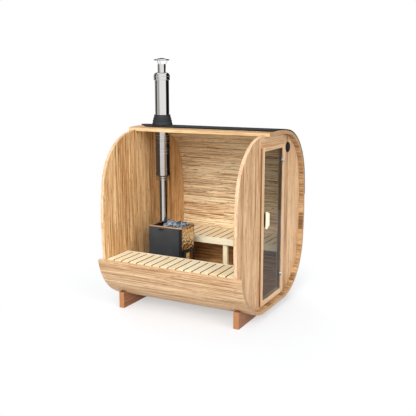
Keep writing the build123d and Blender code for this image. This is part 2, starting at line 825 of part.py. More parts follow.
with BuildPart() as cap_struts:
    for index in range(strut_count):
        turn = radians(strut_turn) + 2 * pi * index / strut_count
        outward = (cos(turn), sin(turn), 0)
        sideways = (sin(turn), -cos(turn), 0)
        with BuildSketch(Plane((flue_x, 0, 0), x_dir=outward, z_dir=sideways)):
            with BuildLine():
                Polyline(
                    (strut_foot, strut_bottom),
                    (strut_foot + strut_thickness, strut_bottom),
                    (strut_foot + strut_thickness, pipe_top),
                    (strut_foot + strut_thickness + strut_splay, cap_bottom),
                    (strut_foot + strut_splay, cap_bottom),
                    (strut_foot, pipe_top),
                    close=True,
                )
            make_face()
        extrude(amount=strut_width / 2, both=True)
save(cap_struts.part, "cap_struts")
with BuildPart() as rain_cap:
    with BuildSketch(Plane((flue_x, 0, 0), x_dir=(1, 0, 0), z_dir=(0, -1, 0))):
        with BuildLine():
            Polyline((0, cap_bottom), (cap_diameter / 2, cap_bottom), (cap_diameter / 2, cap_bottom + cap_rim))
            Spline(
                (cap_diameter / 2, cap_bottom + cap_rim),
                (0, cap_bottom + cap_rim + cap_rise),
                tangents=((-1, 0), (-1, 0)),
            )
            Line((0, cap_bottom + cap_rim + cap_rise), (0, cap_bottom))
        make_face()
    revolve(axis=Axis((flue_x, 0, 0), (0, 0, 1)))
save(rain_cap.part, "rain_cap")
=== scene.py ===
# %% [markdown]
# # A barrel sauna, cut open along its front
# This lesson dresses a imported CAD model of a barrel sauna: a coopered shell of staves on two beams, with
# a glass door, slatted benches, a wood stove and a chimney. The CAD solids fix every size and place.
# Blender adds what a solid leaves out: the single boards of the end walls, eased edges, loose stones and
# finishes.

# %% Load the frame
import math
import random
from contextlib import contextmanager

import bpy
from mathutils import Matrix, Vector


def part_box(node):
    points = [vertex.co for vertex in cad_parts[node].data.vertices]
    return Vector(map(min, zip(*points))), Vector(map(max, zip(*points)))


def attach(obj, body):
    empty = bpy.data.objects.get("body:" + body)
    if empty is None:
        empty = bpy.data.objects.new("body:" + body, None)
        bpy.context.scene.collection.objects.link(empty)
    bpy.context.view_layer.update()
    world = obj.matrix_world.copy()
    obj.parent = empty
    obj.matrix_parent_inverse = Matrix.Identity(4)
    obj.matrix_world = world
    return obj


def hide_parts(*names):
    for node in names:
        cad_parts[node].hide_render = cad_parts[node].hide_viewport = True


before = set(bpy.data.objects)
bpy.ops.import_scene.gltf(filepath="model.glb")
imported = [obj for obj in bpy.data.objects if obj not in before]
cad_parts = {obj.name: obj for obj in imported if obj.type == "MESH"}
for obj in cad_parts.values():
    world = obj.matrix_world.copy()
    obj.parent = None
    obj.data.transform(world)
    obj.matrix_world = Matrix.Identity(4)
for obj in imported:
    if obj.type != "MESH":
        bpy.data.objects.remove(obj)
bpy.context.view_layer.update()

# %% [markdown]
# ## Camera
# The picture was taken from in front and to the right, a little above the roof's height. Its place and
# lens were found from the corners of the barrel, so the render can be laid over the picture. A level
# camera that only turns and tilts keeps the uprights nearly upright.

# %% Camera
CAMERA_PLACE = (3.79458, -7.24338, 2.82321)
CAMERA_TURN = 27.4161
CAMERA_TILT = 11.2078
CAMERA_LENS = 57.703
SENSOR = 36.0

bpy.ops.object.select_all(action="DESELECT")
bpy.ops.object.camera_add(
    location=CAMERA_PLACE,
    rotation=(math.radians(90 - CAMERA_TILT), 0, math.radians(CAMERA_TURN)),
)
camera = bpy.context.object
camera.name = "picture_camera"
camera.data.lens = CAMERA_LENS
camera.data.sensor_width = SENSOR
bpy.context.scene.camera = camera
print("camera at", CAMERA_PLACE, "lens", CAMERA_LENS)

# %% [markdown]
# ## Handling meshes
# Operators act on whatever is selected, so each step first selects one object and nothing else. These
# helpers do that, open edit mode for a few operators, and apply a modifier when its shape is wanted as
# real geometry.

# %% Selecting and editing
CREASE = 32


def only(piece):
    """Select one object alone and make it active."""
    bpy.ops.object.select_all(action="DESELECT")
    piece.select_set(True)
    bpy.context.view_layer.objects.active = piece


@contextmanager
def editing(piece, choose=None, kind="FACE"):
    """Edit mode on one piece, with all of it selected, or the faces or edges that a test chooses."""
    only(piece)
    bpy.ops.object.mode_set(mode="EDIT")
    bpy.ops.mesh.select_mode(type=kind)
    bpy.ops.mesh.select_all(action="SELECT" if choose is None else "DESELECT")
    if choose is not None:
        bpy.ops.object.mode_set(mode="OBJECT")
        mesh = piece.data
        for item in mesh.polygons if kind == "FACE" else mesh.edges:
            item.select = bool(choose(mesh, item))
        bpy.ops.object.mode_set(mode="EDIT")
    yield
    bpy.ops.object.mode_set(mode="OBJECT")


def modified(piece, kind, **settings):
    """Add a modifier, set it up and apply it."""
    step = piece.modifiers.new("step", kind)
    for key, value in settings.items():
        setattr(step, key, value)
    only(piece)
    bpy.ops.object.modifier_apply(modifier=step.name)


def settle(piece):
    """Bake a new object's place into its mesh, so that the object sits at the origin."""
    only(piece)
    bpy.ops.object.transform_apply(location=True, rotation=True, scale=True)


def smooth(piece, angle=CREASE):
    """Shade gentle bends smooth and keep corners crisp."""
    only(piece)
    bpy.ops.object.shade_smooth_by_angle(angle=math.radians(angle))


# %% [markdown]
# A CAD node arrives as loose triangles. A copy of it is welded and its flat triangles are joined into
# whole faces, after which a bevel can find its true edges. Planed boards, castings and sheet metal all
# have eased edges, and these catch the light that tells a solid from a drawing.

# %% Copies of CAD nodes
WELD = 1e-5
FLAT = math.radians(0.6)


def copied(name, node, flat=FLAT):
    """A free copy of a CAD node, welded into clean faces."""
    piece = bpy.data.objects.new(name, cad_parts[node].data.copy())
    bpy.context.scene.collection.objects.link(piece)
    piece.data.materials.clear()
    only(piece)
    bpy.ops.mesh.customdata_custom_splitnormals_clear()
    with editing(piece):
        bpy.ops.mesh.remove_doubles(threshold=WELD)
        bpy.ops.mesh.dissolve_limited(angle_limit=flat)
    return piece


def ease(piece, width, segments=2, angle=35):
    """Round a piece's sharp edges a little."""
    modified(
        piece, "BEVEL", width=width, segments=segments, limit_method="ANGLE",
        angle_limit=math.radians(angle), use_clamp_overlap=True,
    )
    smooth(piece)
    modified(piece, "WEIGHTED_NORMAL", keep_sharp=True)


def coat(piece, *finishes):
    """Give a piece its finishes, in the order of its material slots."""
    for finish_used in finishes:
        piece.data.materials.append(finish_used)


def fit(piece, body, slot, *nodes):
    """Hang a finished piece on its body, in the place of its CAD nodes."""
    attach(piece, body)
    if nodes:
        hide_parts(*nodes)
    print(piece.name, "on", body, "-", len(piece.data.polygons), "faces")
    return piece


# %% [markdown]
# ## Shader sums
# Finishes are written as sums of patterns. One small class wraps a socket so that plus, minus and times
# add Math nodes, and one method adds any other node: its settings first, then its sockets.


# %% Sockets in sums
class Wire:
    """A socket that can stand in a Python sum."""

    def __init__(self, nodes, socket):
        self.nodes = nodes
        self.socket = socket

    def sum(self, operation, first, second):
        return self.nodes.add("ShaderNodeMath", {"operation": operation}, {0: first, 1: second})

    def __add__(self, other):
        return self.sum("ADD", self, other)

    def __mul__(self, other):
        return self.sum("MULTIPLY", self, other)

    def __sub__(self, other):
        return self.sum("SUBTRACT", self, other)

    def __rsub__(self, other):
        return self.sum("SUBTRACT", other, self)

    def rise(self, low, high):
        """Zero below low, one above high and a soft step between."""
        return self.nodes.add(
            "ShaderNodeMapRange",
            {"interpolation_type": "SMOOTHSTEP"},
            {"Value": self, "From Min": low, "From Max": high},
        )


# %% Node trees
class Nodes:
    """A node tree that grows one node at a time."""

    def __init__(self, tree):
        self.tree = tree
        tree.nodes.clear()

    def add(self, kind, settings=None, sockets=None, out=0):
        node = self.tree.nodes.new(kind)
        for key, value in (settings or {}).items():
            if key == "stops":
                ramp = node.color_ramp.elements
                while len(ramp) < len(value):
                    ramp.new(1.0)
                for stop, (place, colour) in zip(ramp, value):
                    stop.position = place
                    stop.color = (*colour, 1.0)
            else:
                setattr(node, key, value)
        for key, value in (sockets or {}).items():
            if isinstance(value, Wire):
                self.tree.links.new(value.socket, node.inputs[key])
            else:
                node.inputs[key].default_value = value
        return Wire(self, node.outputs[out]) if node.outputs else None

    def blend(self, share, first, second):
        """Mix two colours."""
        first, second = ((*c, 1.0) if isinstance(c, tuple) else c for c in (first, second))
        return self.add("ShaderNodeMix", {"data_type": "RGBA"}, {0: share, 6: first, 7: second}, out=2)

    def bump(self, height, depth, strength):
        """Turn a height into a bent normal."""
        return self.add("ShaderNodeBump", None, {"Height": height, "Distance": depth, "Strength": strength})


# %% Opening and closing a finish
def finish(name):
    """A new material's empty node tree."""
    material = bpy.data.materials.new(name)
    material.use_nodes = True
    nodes = Nodes(material.node_tree)
    nodes.material = material
    return nodes


def surface(nodes, **sockets):
    """Close a finish with one surface shader; names use underscores for spaces."""
    named = {key.replace("_", " "): value for key, value in sockets.items()}
    for key, value in named.items():
        if isinstance(value, tuple) and len(value) == 3:
            named[key] = (*value, 1.0)
    shader = nodes.add("ShaderNodeBsdfPrincipled", None, named)
    nodes.add("ShaderNodeOutputMaterial", None, {"Surface": shader})
    return nodes.material


def tone(red, green, blue):
    """A colour as a picture shows it, 0 to 255, in the linear numbers that shaders use."""
    def linear(value):
        value /= 255
        return value / 12.92 if value <= 0.04045 else ((value + 0.055) / 1.055) ** 2.4
    return (linear(red), linear(green), linear(blue))


print("shader tools ready")

# %% [markdown]
# ## Wood
# The shell is heat-treated softwood: light brown, with long darker streaks and short dark flecks along
# the grain. Each board comes from another place in the log, so no pattern may run on across a joint.
# Every board gets its own stretch of grain, stored on its points as a place in the log: along the board,
# then across it. One finish can then follow boards that lie any way round.

# %% Grain on every board
LOG_REACH = 9
ACROSS_GRAIN = 0.8


def board_numbers(mesh):
    """Number each vertex by the separate board that it belongs to."""
    leader = list(range(len(mesh.vertices)))

    def find(index):
        while leader[index] != index:
            leader[index] = leader[leader[index]]
            index = leader[index]
        return index

    for edge in mesh.edges:
        first, second = map(find, edge.vertices)
        leader[first] = second
    return [find(index) for index in range(len(leader))]


def lay_grain(piece):
    """Store each board's own stretch of log, its shade, and which faces are cut across the grain."""
    mesh = piece.data
    boards = {}
    for index, number in enumerate(board_numbers(mesh)):
        boards.setdefault(number, []).append(index)
    mesh.attributes.new("grain", "FLOAT_VECTOR", "POINT")
    mesh.attributes.new("shade", "FLOAT", "POINT")
    mesh.attributes.new("end_grain", "FLOAT", "FACE")
    grain, shade = mesh.attributes["grain"].data, mesh.attributes["shade"].data
    dice = random.Random(piece.name)
    run = [0] * len(mesh.vertices)
    for members in boards.values():
        places = [mesh.vertices[index].co for index in members]
        spans = [max(p[k] for p in places) - min(p[k] for p in places) for k in range(3)]
        along = spans.index(max(spans))
        order = (along, (along + 1) % 3, (along + 2) % 3)
        shift = [dice.uniform(-LOG_REACH, LOG_REACH) for _ in order]
        own_shade = dice.random()
        for index, place in zip(members, places):
            grain[index].vector = [place[k] + s for k, s in zip(order, shift)]
            shade[index].value = own_shade
            run[index] = along
    ends = mesh.attributes["end_grain"].data
    for face in mesh.polygons:
        ends[face.index].value = float(abs(face.normal[run[face.vertices[0]]]) > ACROSS_GRAIN)
    return len(boards)


# %% [markdown]
# The figure is a sum of noises, each drawn out along the grain: a slow drift over the board, growth
# bands, a mottle and fine fibre. The sum picks a tone between dark and pale. Short dark flecks lie on
# top, and faces cut across the grain are speckled.

# %% Wood finish
WOOD_ROUGHNESS = 0.55
TONE_STOPS = (0.18, 0.5, 0.8)
FLECK_EDGE, FLECK_SHARE = (0.63, 0.69), 0.7
SPECKLE_EDGE, SPECKLE_SHARE = (0.35, 0.65), 0.45
END_SHARE = 0.8
FIBRE_DEPTH, FIBRE_STRENGTH = 0.0012, 0.5


def wood(name, dark, middle, pale, play=0.2, figure=1.0, end_tone=None):
    """Streaked softwood on the grain that its boards carry; play sets how far boards differ."""
    nodes = finish(name)
    grain = nodes.add("ShaderNodeAttribute", {"attribute_name": "grain"}, out="Vector")
    shade = nodes.add("ShaderNodeAttribute", {"attribute_name": "shade"}, out="Fac")
    ends = nodes.add("ShaderNodeAttribute", {"attribute_name": "end_grain"}, out="Fac")

    def streaks(along, across, detail, bend=0.0):
        stretch = {0: grain, 1: (along, across, across)}
        run = nodes.add("ShaderNodeVectorMath", {"operation": "MULTIPLY"}, stretch)
        return nodes.add(
            "ShaderNodeTexNoise", None,
            {"Vector": run, "Scale": 1.0, "Detail": detail, "Roughness": 0.6, "Distortion": bend},
        )

    drift = streaks(0.8, 14.0, 2.0, 0.2)
    bands = streaks(1.1, 160.0, 2.0)
    mottle = streaks(2.6, 210.0, 1.0)
    fibre = streaks(5.0, 380.0, 2.0)
    flecks = streaks(9.0, 105.0, 1.0)
    depth = (drift - 0.5) * (0.55 * figure) + (bands - 0.5) * (1.7 * figure)
    depth = depth + (mottle - 0.5) * (1.3 * figure) + (fibre - 0.5) * (0.9 * figure)
    depth = depth + (shade - 0.5) * play + 0.5
    stops = list(zip(TONE_STOPS, (dark, middle, pale)))
    colour = nodes.add("ShaderNodeValToRGB", {"stops": stops}, {"Fac": depth})
    dash = flecks.rise(*FLECK_EDGE)
    colour = nodes.blend(dash * (FLECK_SHARE * figure), colour, dark)
    if end_tone is not None:
        speckle = streaks(1.0, 260.0, 2.0)
        across = nodes.blend(speckle.rise(*SPECKLE_EDGE) * SPECKLE_SHARE, end_tone, dark)
        colour = nodes.blend(ends * END_SHARE, colour, across)
    normal = nodes.bump(fibre * 0.6 + flecks * 0.6, FIBRE_DEPTH, FIBRE_STRENGTH)
    return surface(
        nodes, Base_Color=colour, Roughness=(fibre - 0.5) * 0.5 + WOOD_ROUGHNESS, Normal=normal,
        Specular_IOR_Level=0.3,
    )

# %% Kinds of wood
stave_wood = wood(
    "stave_wood", tone(148, 104, 66), tone(202, 165, 124), tone(228, 197, 158), end_tone=tone(166, 120, 78)
)
inner_wood = wood(
    "inner_wood", tone(150, 96, 50), tone(255, 220, 172), tone(255, 244, 210), figure=1.2
)
inner_wall_wood = wood(
    "inner_wall_wood", tone(146, 92, 46), tone(230, 180, 122), tone(248, 214, 163), figure=1.1
)
# Painted shade: a darker copy of the stave wood for the faces under the overhang at the ends.
overhang_wood = wood(
    "overhang_wood", tone(108, 72, 42), tone(172, 132, 90), tone(206, 170, 126), play=0.5,
    end_tone=tone(200, 160, 118),
)
wall_wood = wood(
    "wall_wood", tone(142, 95, 58), tone(206, 163, 120), tone(230, 195, 154), end_tone=tone(226, 188, 144)
)
frame_wood = wood(
    "frame_wood", tone(176, 132, 92), tone(216, 177, 137), tone(234, 203, 165), figure=0.7,
    end_tone=tone(220, 180, 134),
)
bench_wood = wood(
    "bench_wood", tone(240, 210, 162), tone(255, 242, 206), tone(255, 249, 228), figure=0.5,
    end_tone=tone(240, 212, 162),
)
# Painted shade: a dark brown for the slats' sides, the door stops and the casing's sides, standing in for
# the shade in gaps.
gap_wood = wood(
    "gap_wood", tone(92, 60, 32), tone(122, 84, 48), tone(146, 106, 66), figure=0.7
)
cut_wood = wood(
    "cut_wood", tone(198, 156, 106), tone(232, 198, 148), tone(246, 218, 174)
)
# Raw sawn rims and cut edges; on the door casing the same finish is a painted highlight.
rim_wood = wood(
    "rim_wood", tone(186, 143, 103), tone(221, 185, 148), tone(237, 207, 175), figure=0.8
)
joint_wood = wood(
    "joint_wood", tone(46, 28, 14), tone(72, 45, 25), tone(94, 62, 36), figure=0.7
)
# Painted shade: a brown for the inside of the staves below the benches.
floor_wood = wood(
    "floor_wood", tone(92, 60, 32), tone(164, 116, 68), tone(198, 150, 96), figure=1.2
)
# Painted shade: the beams' sides are darkened for the shade under the barrel, and their ends keep a paler
# tone as lit faces.
beam_wood = wood(
    "beam_wood", tone(112, 72, 48), tone(146, 98, 68), tone(166, 116, 84), figure=0.8,
    end_tone=tone(190, 132, 84),
)
print("wood finishes ready")

# %% [markdown]
# ## Metal, stone, rubber and glass
# The chimney and the stove's shield are polished stainless steel, so their look is mostly what they
# reflect, with a fine brushing that blurs it. The shield's steel also has a warm tint, a painted reflection
# of the wood round it; the rim's copper-orange is a painted reflection too, and the flue inside the room is
# a darker copy of the chimney's steel, a painted shade. The stove's casing has a satin heat-proof paint with
# a slight orange-peel texture. The roof sheet is a matt mineral felt, the flashing is moulded rubber, and
# the door is bronze-tinted glass.

# %% Metal finishes
BRUSHING = (40.0, 40.0, 900.0)
HAMMERING = (26.0, 26.0, 20.0)


def noise(nodes, scale, detail, rough=0.5):
    """Soft noise on object coordinates; a scale of three numbers draws it out along an axis."""
    scale = scale if isinstance(scale, tuple) else (scale, scale, scale)
    place = nodes.add("ShaderNodeTexCoord", out="Object")
    run = nodes.add("ShaderNodeVectorMath", {"operation": "MULTIPLY"}, {0: place, 1: scale})
    return nodes.add(
        "ShaderNodeTexNoise", None, {"Vector": run, "Scale": 1.0, "Detail": detail, "Roughness": rough}
    )


def steel(name, colour, roughness, wave=0.0, metal=1.0):
    """Polished sheet with a fine brushing, faint handling marks and, where asked, a hammered wave."""
    nodes = finish(name)
    brush = noise(nodes, BRUSHING, 2.0)
    marks = noise(nodes, 9.0, 3.0)
    shine = (brush - 0.5) * 0.06 + marks.rise(0.45, 0.75) * 0.05 + roughness
    base = nodes.blend(marks.rise(0.4, 0.8) * 0.3, colour, tuple(0.85 * c for c in colour))
    height = brush * 0.002
    if wave:
        height = height + noise(nodes, HAMMERING, 1.0) * wave
    return surface(
        nodes, Base_Color=base, Metallic=metal, Roughness=shine, Normal=nodes.bump(height, 0.005, 0.4)
    )


def painted(name, colour, roughness, grain=900.0, depth=0.0004):
    """Satin heat-proof paint or cast skin with a fine texture."""
    nodes = finish(name)
    peel = noise(nodes, grain, 2.0)
    dust = noise(nodes, 7.0, 4.0)
    base = nodes.blend(dust.rise(0.35, 0.75) * 0.5, colour, tuple(1.6 * c for c in colour))
    return surface(
        nodes, Base_Color=base, Roughness=(dust - 0.5) * 0.25 + roughness,
        Normal=nodes.bump(peel, depth, 0.35),
    )


flue_steel = steel("flue_steel", (0.76, 0.73, 0.71), 0.05)
# Partly painted reflection: the shield reflects for real, and its golden-brown tint stands in for the wood
# it reflects.
shield_steel = steel("shield_steel", (0.72, 0.53, 0.33), 0.05, wave=9.0)
# Painted shade: the flue inside the room takes a darker copy of the chimney's steel.
room_steel = steel("room_steel", (0.58, 0.55, 0.53), 0.06)
# Painted reflection: the rim's copper-orange stands in for the wood that its polished steel reflects.
trim_steel = steel("trim_steel", (0.66, 0.40, 0.24), 0.16, metal=0.4)
hinge_steel = steel("hinge_steel", (0.80, 0.80, 0.81), 0.10)
stove_paint = painted("stove_paint", tone(53, 57, 61), 0.48)
# Painted shade: near-black for the pull, standing in for the shade inside the slot.
pull_black = painted("pull_black", tone(9, 9, 10), 0.7, 700.0, 0.0003)
fire_iron = painted("fire_iron", tone(38, 38, 40), 0.55, 500.0, 0.0008)
tray_iron = painted("tray_iron", tone(24, 24, 26), 0.65, 500.0, 0.0008)
black_moulding = painted("black_moulding", tone(26, 27, 29), 0.5, 1500.0, 0.0002)
flashing_rubber = painted("flashing_rubber", tone(40, 41, 43), 0.6, 700.0, 0.0005)
print("metal finishes ready")


# %% Roof felt, stone and glass
def felt(name):
    """Mineral roofing felt: dark, with fine granules and worn patches."""
    nodes = finish(name)
    granule = noise(nodes, 700.0, 1.0)
    patch = noise(nodes, (2.2, 5.0, 5.0), 4.0)
    base = nodes.blend(granule.rise(0.42, 0.66), tone(24, 25, 27), tone(54, 55, 58))
    base = nodes.blend(patch.rise(0.35, 0.75) * 0.35, base, tone(68, 69, 72))
    return surface(
        nodes, Base_Color=base, Roughness=granule * 0.3 + 0.42, Normal=nodes.bump(granule, 0.0008, 0.5)
    )


def stone(name):
    """Rough blue-grey rock with paler grains and dark cracks."""
    nodes = finish(name)
    cloud = noise(nodes, 26.0, 5.0, 0.6)
    grains = noise(nodes, 220.0, 3.0, 0.6)
    base = nodes.blend(cloud.rise(0.40, 0.60), tone(60, 67, 76), tone(156, 168, 180))
    base = nodes.blend(grains.rise(0.55, 0.75) * 0.5, base, tone(196, 206, 216))
    return surface(
        nodes, Base_Color=base, Roughness=grains * 0.2 + 0.7, Normal=nodes.bump(grains + cloud, 0.004, 0.6)
    )


def glass(name, colour, bending, mirror=0.0):
    """Tinted toughened glass with the faint wave and smears of a real pane, or a mirror coat on it."""
    nodes = finish(name)
    wave = noise(nodes, 3.0, 1.0)
    smear = noise(nodes, (8.0, 8.0, 22.0), 3.0)
    base = nodes.blend(smear.rise(0.4, 0.8) * 0.3, colour, tuple(min(1.0, 1.12 * c) for c in colour))
    return surface(
        nodes, Base_Color=base, Roughness=smear.rise(0.55, 0.9) * 0.05 + 0.01, Metallic=mirror,
        Transmission_Weight=1.0, IOR=bending, Normal=nodes.bump(wave, 0.0006, 0.3),
    )


roof_felt = felt("roof_felt")
blue_stone = stone("blue_stone")
door_tint = glass("door_tint", (0.46, 0.475, 0.45), 1.12)
fire_tint = glass("fire_tint", (0.62, 0.44, 0.22), 1.45, mirror=0.75)
print("felt, stone and glass ready")

# %% [markdown]
# ## Staves
# A cooper cuts every stave to the same section, mitred on both sides, and grooves it near its ends for
# the end walls. The CAD solids already hold the mitres and grooves, so each run of staves is a copy with
# eased edges. Every face takes one of six finishes: weathered outside, raw where the barrel is cut open,
# pale inside, a painted shade under the overhang at the ends, darkest in the joints, and a brown painted
# shade low inside, below the benches. A face counts as facing some way where its normal lies nine tenths
# along it.

# %% Staves
FACING = 0.9
STAVE_EASE = 0.0016
ROOF_CUT_BAND = 0.02
FRONT_CUT_BAND = 0.03
FRONT_CUT_FACING = 0.8
INWARD = 0.6
JOINT_TURN = 0.35
JOINT_SLOPES = (0.2, 0.95)
JOINT_AREA = 0.0004
LONG_JOINT_AREA = 0.006
OUTSIDE, CUT, INSIDE, STAVE_END, JOINT, UNDER_BENCH_SHADE = range(6)
stave_runs = {
    "roof_staves": "roof_stave_run",
    "shoulder_staves": "shoulder_stave_run",
    "back_staves": "back_stave_run",
    "back_haunch_staves": "back_haunch_stave_run",
    "floor_staves": "floor_stave_run",
    "front_haunch_staves": "front_haunch_stave_run",
}
roof_low, roof_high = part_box("roof_staves")
FRONT_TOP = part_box("front_haunch_staves")[1].z
AXIS_HEIGHT = (roof_high.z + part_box("floor_staves")[0].z) / 2
ROOM_END = -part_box("stove_end_wall")[1].x
BENCH_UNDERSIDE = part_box("back_bench_rails")[0].z


def is_cut(node, face):
    """Whether a face lies where the barrel is cut open."""
    if node == "roof_staves":
        return face.normal.y < -FACING and face.center.y < roof_low.y + ROOF_CUT_BAND
    if node == "front_haunch_staves":
        return face.normal.z > FRONT_CUT_FACING and face.center.z > FRONT_TOP - FRONT_CUT_BAND
    return False


def stave_face(node, face):
    """Which of the six finishes a face takes, by its place and the way it faces."""
    if is_cut(node, face):
        return CUT
    inward = Vector((0, -face.center.y, AXIS_HEIGHT - face.center.z)).normalized()
    towards = face.normal.dot(inward)
    sideways = abs(face.normal.dot(inward.cross(Vector((1, 0, 0)))))
    end_joint = abs(face.center.x) > ROOM_END and face.area < JOINT_AREA
    long_joint = JOINT_SLOPES[0] < towards < JOINT_SLOPES[1] and face.area < LONG_JOINT_AREA
    if sideways > JOINT_TURN and (end_joint or long_joint):
        return JOINT
    if towards > INWARD and abs(face.center.x) < ROOM_END:
        # Inside faces below the benches take a painted shade.
        return UNDER_BENCH_SHADE if face.center.z < BENCH_UNDERSIDE else INSIDE
    # Inside faces beyond the end walls take the painted shade under the overhang.
    return STAVE_END if towards > INWARD or abs(face.normal.x) > FACING else OUTSIDE


for node, name in stave_runs.items():
    run = copied(name, node)
    ease(run, STAVE_EASE)
    raw_wood = cut_wood if node == "roof_staves" else rim_wood
    coat(run, stave_wood, raw_wood, inner_wood, overhang_wood, joint_wood, floor_wood)
    for face in run.data.polygons:
        face.material_index = stave_face(node, face)
    count = lay_grain(run)
    fit(run, "sauna", "stave_wood", node)
    joint_faces = sum(face.material_index == JOINT for face in run.data.polygons)
    print("  staves:", count, "joint faces:", joint_faces)

# %% [markdown]
# ## End walls
# The end walls are tongued boards on end, cut to the barrel's round. One board blank is modelled with
# chamfered edges, repeated side by side, and trimmed by the CAD wall in one intersection, as a joiner
# glues up a panel and then saws it to a template. The saw's faces take the raw-wood finish from the
# template, and the faces towards the room take the warmer finish of the inside.

# %% Boards trimmed to a wall
BOARD_PITCH = 0.094
BOARD_GAP = 0.0008
BOARD_CHAMFER = 0.003
BOARD_CREASE = 20
TRIM_ALLOWANCE = 0.02
TEMPLATE_STRETCH = 1.5
INFILL_EASE = 0.002
ROOM_SIDE = 2  # after the boards' own finish and the saw's


def boarded(name, node):
    """Upright boards, set side by side along Y and trimmed by the CAD wall."""
    low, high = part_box(node)
    middle, span = (low + high) / 2, high - low
    count = round(span.y / BOARD_PITCH)
    width = span.y / count
    size = Vector((span.x, width - BOARD_GAP, span.z + TRIM_ALLOWANCE))
    start = (middle.x, low.y + width / 2, middle.z)
    bpy.ops.object.select_all(action="DESELECT")
    bpy.ops.mesh.primitive_cube_add(size=1, location=start, scale=size)
    boards = bpy.context.object
    boards.name = name
    settle(boards)

    def is_upright(mesh, edge):
        first, second = (mesh.vertices[v].co for v in edge.vertices)
        return abs(first.z - second.z) > size.z / 2

    with editing(boards, is_upright, "EDGE"):
        bpy.ops.mesh.bevel(offset=BOARD_CHAMFER, segments=1, affect="EDGES")
    modified(
        boards, "ARRAY", count=count, use_relative_offset=False, use_constant_offset=True,
        constant_offset_displace=(0, width, 0),
    )
    template = copied(name + "_template", node)
    with editing(template):
        bpy.ops.transform.resize(value=(TEMPLATE_STRETCH, 1, 1), center_override=middle)
    coat(boards, wall_wood)
    coat(template, rim_wood)
    modified(
        boards, "BOOLEAN", operation="INTERSECT", object=template, solver="EXACT", material_mode="TRANSFER"
    )
    bpy.data.objects.remove(template)
    smooth(boards, BOARD_CREASE)
    return boards


for name, node in (
    ("stove_end_boards", "stove_end_wall"),
    ("front_door_boards", "front_door_wall"),
    ("back_door_boards", "back_door_wall"),
):
    boards = boarded(name, node)
    coat(boards, inner_wall_wood)
    inward = -math.copysign(1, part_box(node)[0].x)
    for face in boards.data.polygons:
        if face.normal.x * inward > FACING:
            face.material_index = ROOM_SIDE
    count = lay_grain(boards)
    fit(boards, "sauna", "wall_wood", node)
    print("  boards:", count)

# The infill boards over the door take the paler frame finish, a painted light against the shade under the
# roof's overhang.
infill = copied("door_infill_boards", "door_wall_infill")
ease(infill, INFILL_EASE)
coat(infill, frame_wood)
lay_grain(infill)
fit(infill, "sauna", "wall_wood", "door_wall_infill")

# %% [markdown]
# ## Benches and beams
# These are plain planed timbers. The solids have their true sections, so they are copied and their edges
# eased: a little on the stop strips and slats, more on the rails, posts and beams. The slats' sides carry
# a painted shade, so that the gaps between them read as dark gaps, and the stop strips behind the glass
# take the same painted shade. Each row of a table like this one gives a piece's name, the CAD node that it
# dresses, its finish, its slot and how far its edges are eased.

# %% Timbers
timbers = (
    # The stop strips take the painted shade of the gap round the glass.
    ("door_stop_strips", "door_stops", gap_wood, "frame_wood", 0.0015),
    ("front_bench_seat", "front_bench_slats", bench_wood, "bench_wood", 0.002),
    ("front_bench_framing", "front_bench_rails", bench_wood, "bench_wood", 0.004),
    ("front_bench_post", "front_bench_leg", bench_wood, "bench_wood", 0.004),
    ("back_bench_seat", "back_bench_slats", bench_wood, "bench_wood", 0.002),
    ("back_bench_framing", "back_bench_rails", bench_wood, "bench_wood", 0.004),
    ("back_bench_post", "back_bench_leg", bench_wood, "bench_wood", 0.004),
    ("stove_end_beam", "stove_end_cradle", beam_wood, "cradle_wood", 0.004),
    ("door_end_beam", "door_end_cradle", beam_wood, "cradle_wood", 0.004),
)
for name, node, finish_used, slot, width in timbers:
    timber = copied(name, node)
    ease(timber, width)
    coat(timber, finish_used)
    if "slats" in node:
        # The slats' sides facing along X take the painted shade of the gaps between them.
        coat(timber, gap_wood)
        for face in timber.data.polygons:
            face.material_index = int(abs(face.normal.x) > FACING)
    lay_grain(timber)
    fit(timber, "sauna", slot, node)

# %% [markdown]
# ## Door frame
# The frame stands a little proud of the boards. Its sides carry a painted shadow, a dark line round
# it, and a pale lath next to the glass is a painted highlight along the frame's inner edge. Two straight
# cuts part the laths from the jambs, so each can have its own finish. The jamb on the hinge side carries
# the same painted highlight as the laths.

# %% Door frame
LATH = 0.022
LATH_FOOT, LATH_TOP = 0.3, 1.9
CASING_EASE = 0.003
CASING_EDGE = 0.005
CASING_SIDE = 0.8
FRAME_FACE, SHADOW_SIDE, HIGHLIGHT_FACE = range(3)
casing = copied("door_casing", "door_frame")
casing_low, casing_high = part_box("door_frame")
pane_low, pane_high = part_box("door_glass")
for edge in (pane_low.y - LATH, pane_high.y + LATH):
    with editing(casing):
        bpy.ops.mesh.bisect(plane_co=(0, edge, 0), plane_no=(0, 1, 0))
ease(casing, CASING_EASE)
coat(casing, frame_wood, gap_wood, rim_wood)
for face in casing.data.polygons:
    y, z = face.center.yz
    at_edge = y < casing_low.y + CASING_EDGE or y > casing_high.y - CASING_EDGE
    # Casing sides facing along Y take the painted shadow line.
    is_side = at_edge and abs(face.normal.y) > CASING_SIDE
    # Faces towards +X, from the grip-side lath across to the hinge-side jamb, take the painted highlight.
    is_highlight = pane_low.y - LATH < y and face.normal.x > FACING and LATH_FOOT < z < LATH_TOP
    face.material_index = SHADOW_SIDE if is_side else HIGHLIGHT_FACE if is_highlight else FRAME_FACE
lay_grain(casing)
fit(casing, "sauna", "frame_wood", "door_frame")

# %% [markdown]
# ## Glass door
# The door is one toughened pane with polished edges, hung on two chrome hinges that clamp it. A wooden
# grip is screwed on through the glass, with a dark spacer plate behind it. The last column names the body
# that a piece rides on: the clamps swing with the glass, and the leaves stay on the jamb.

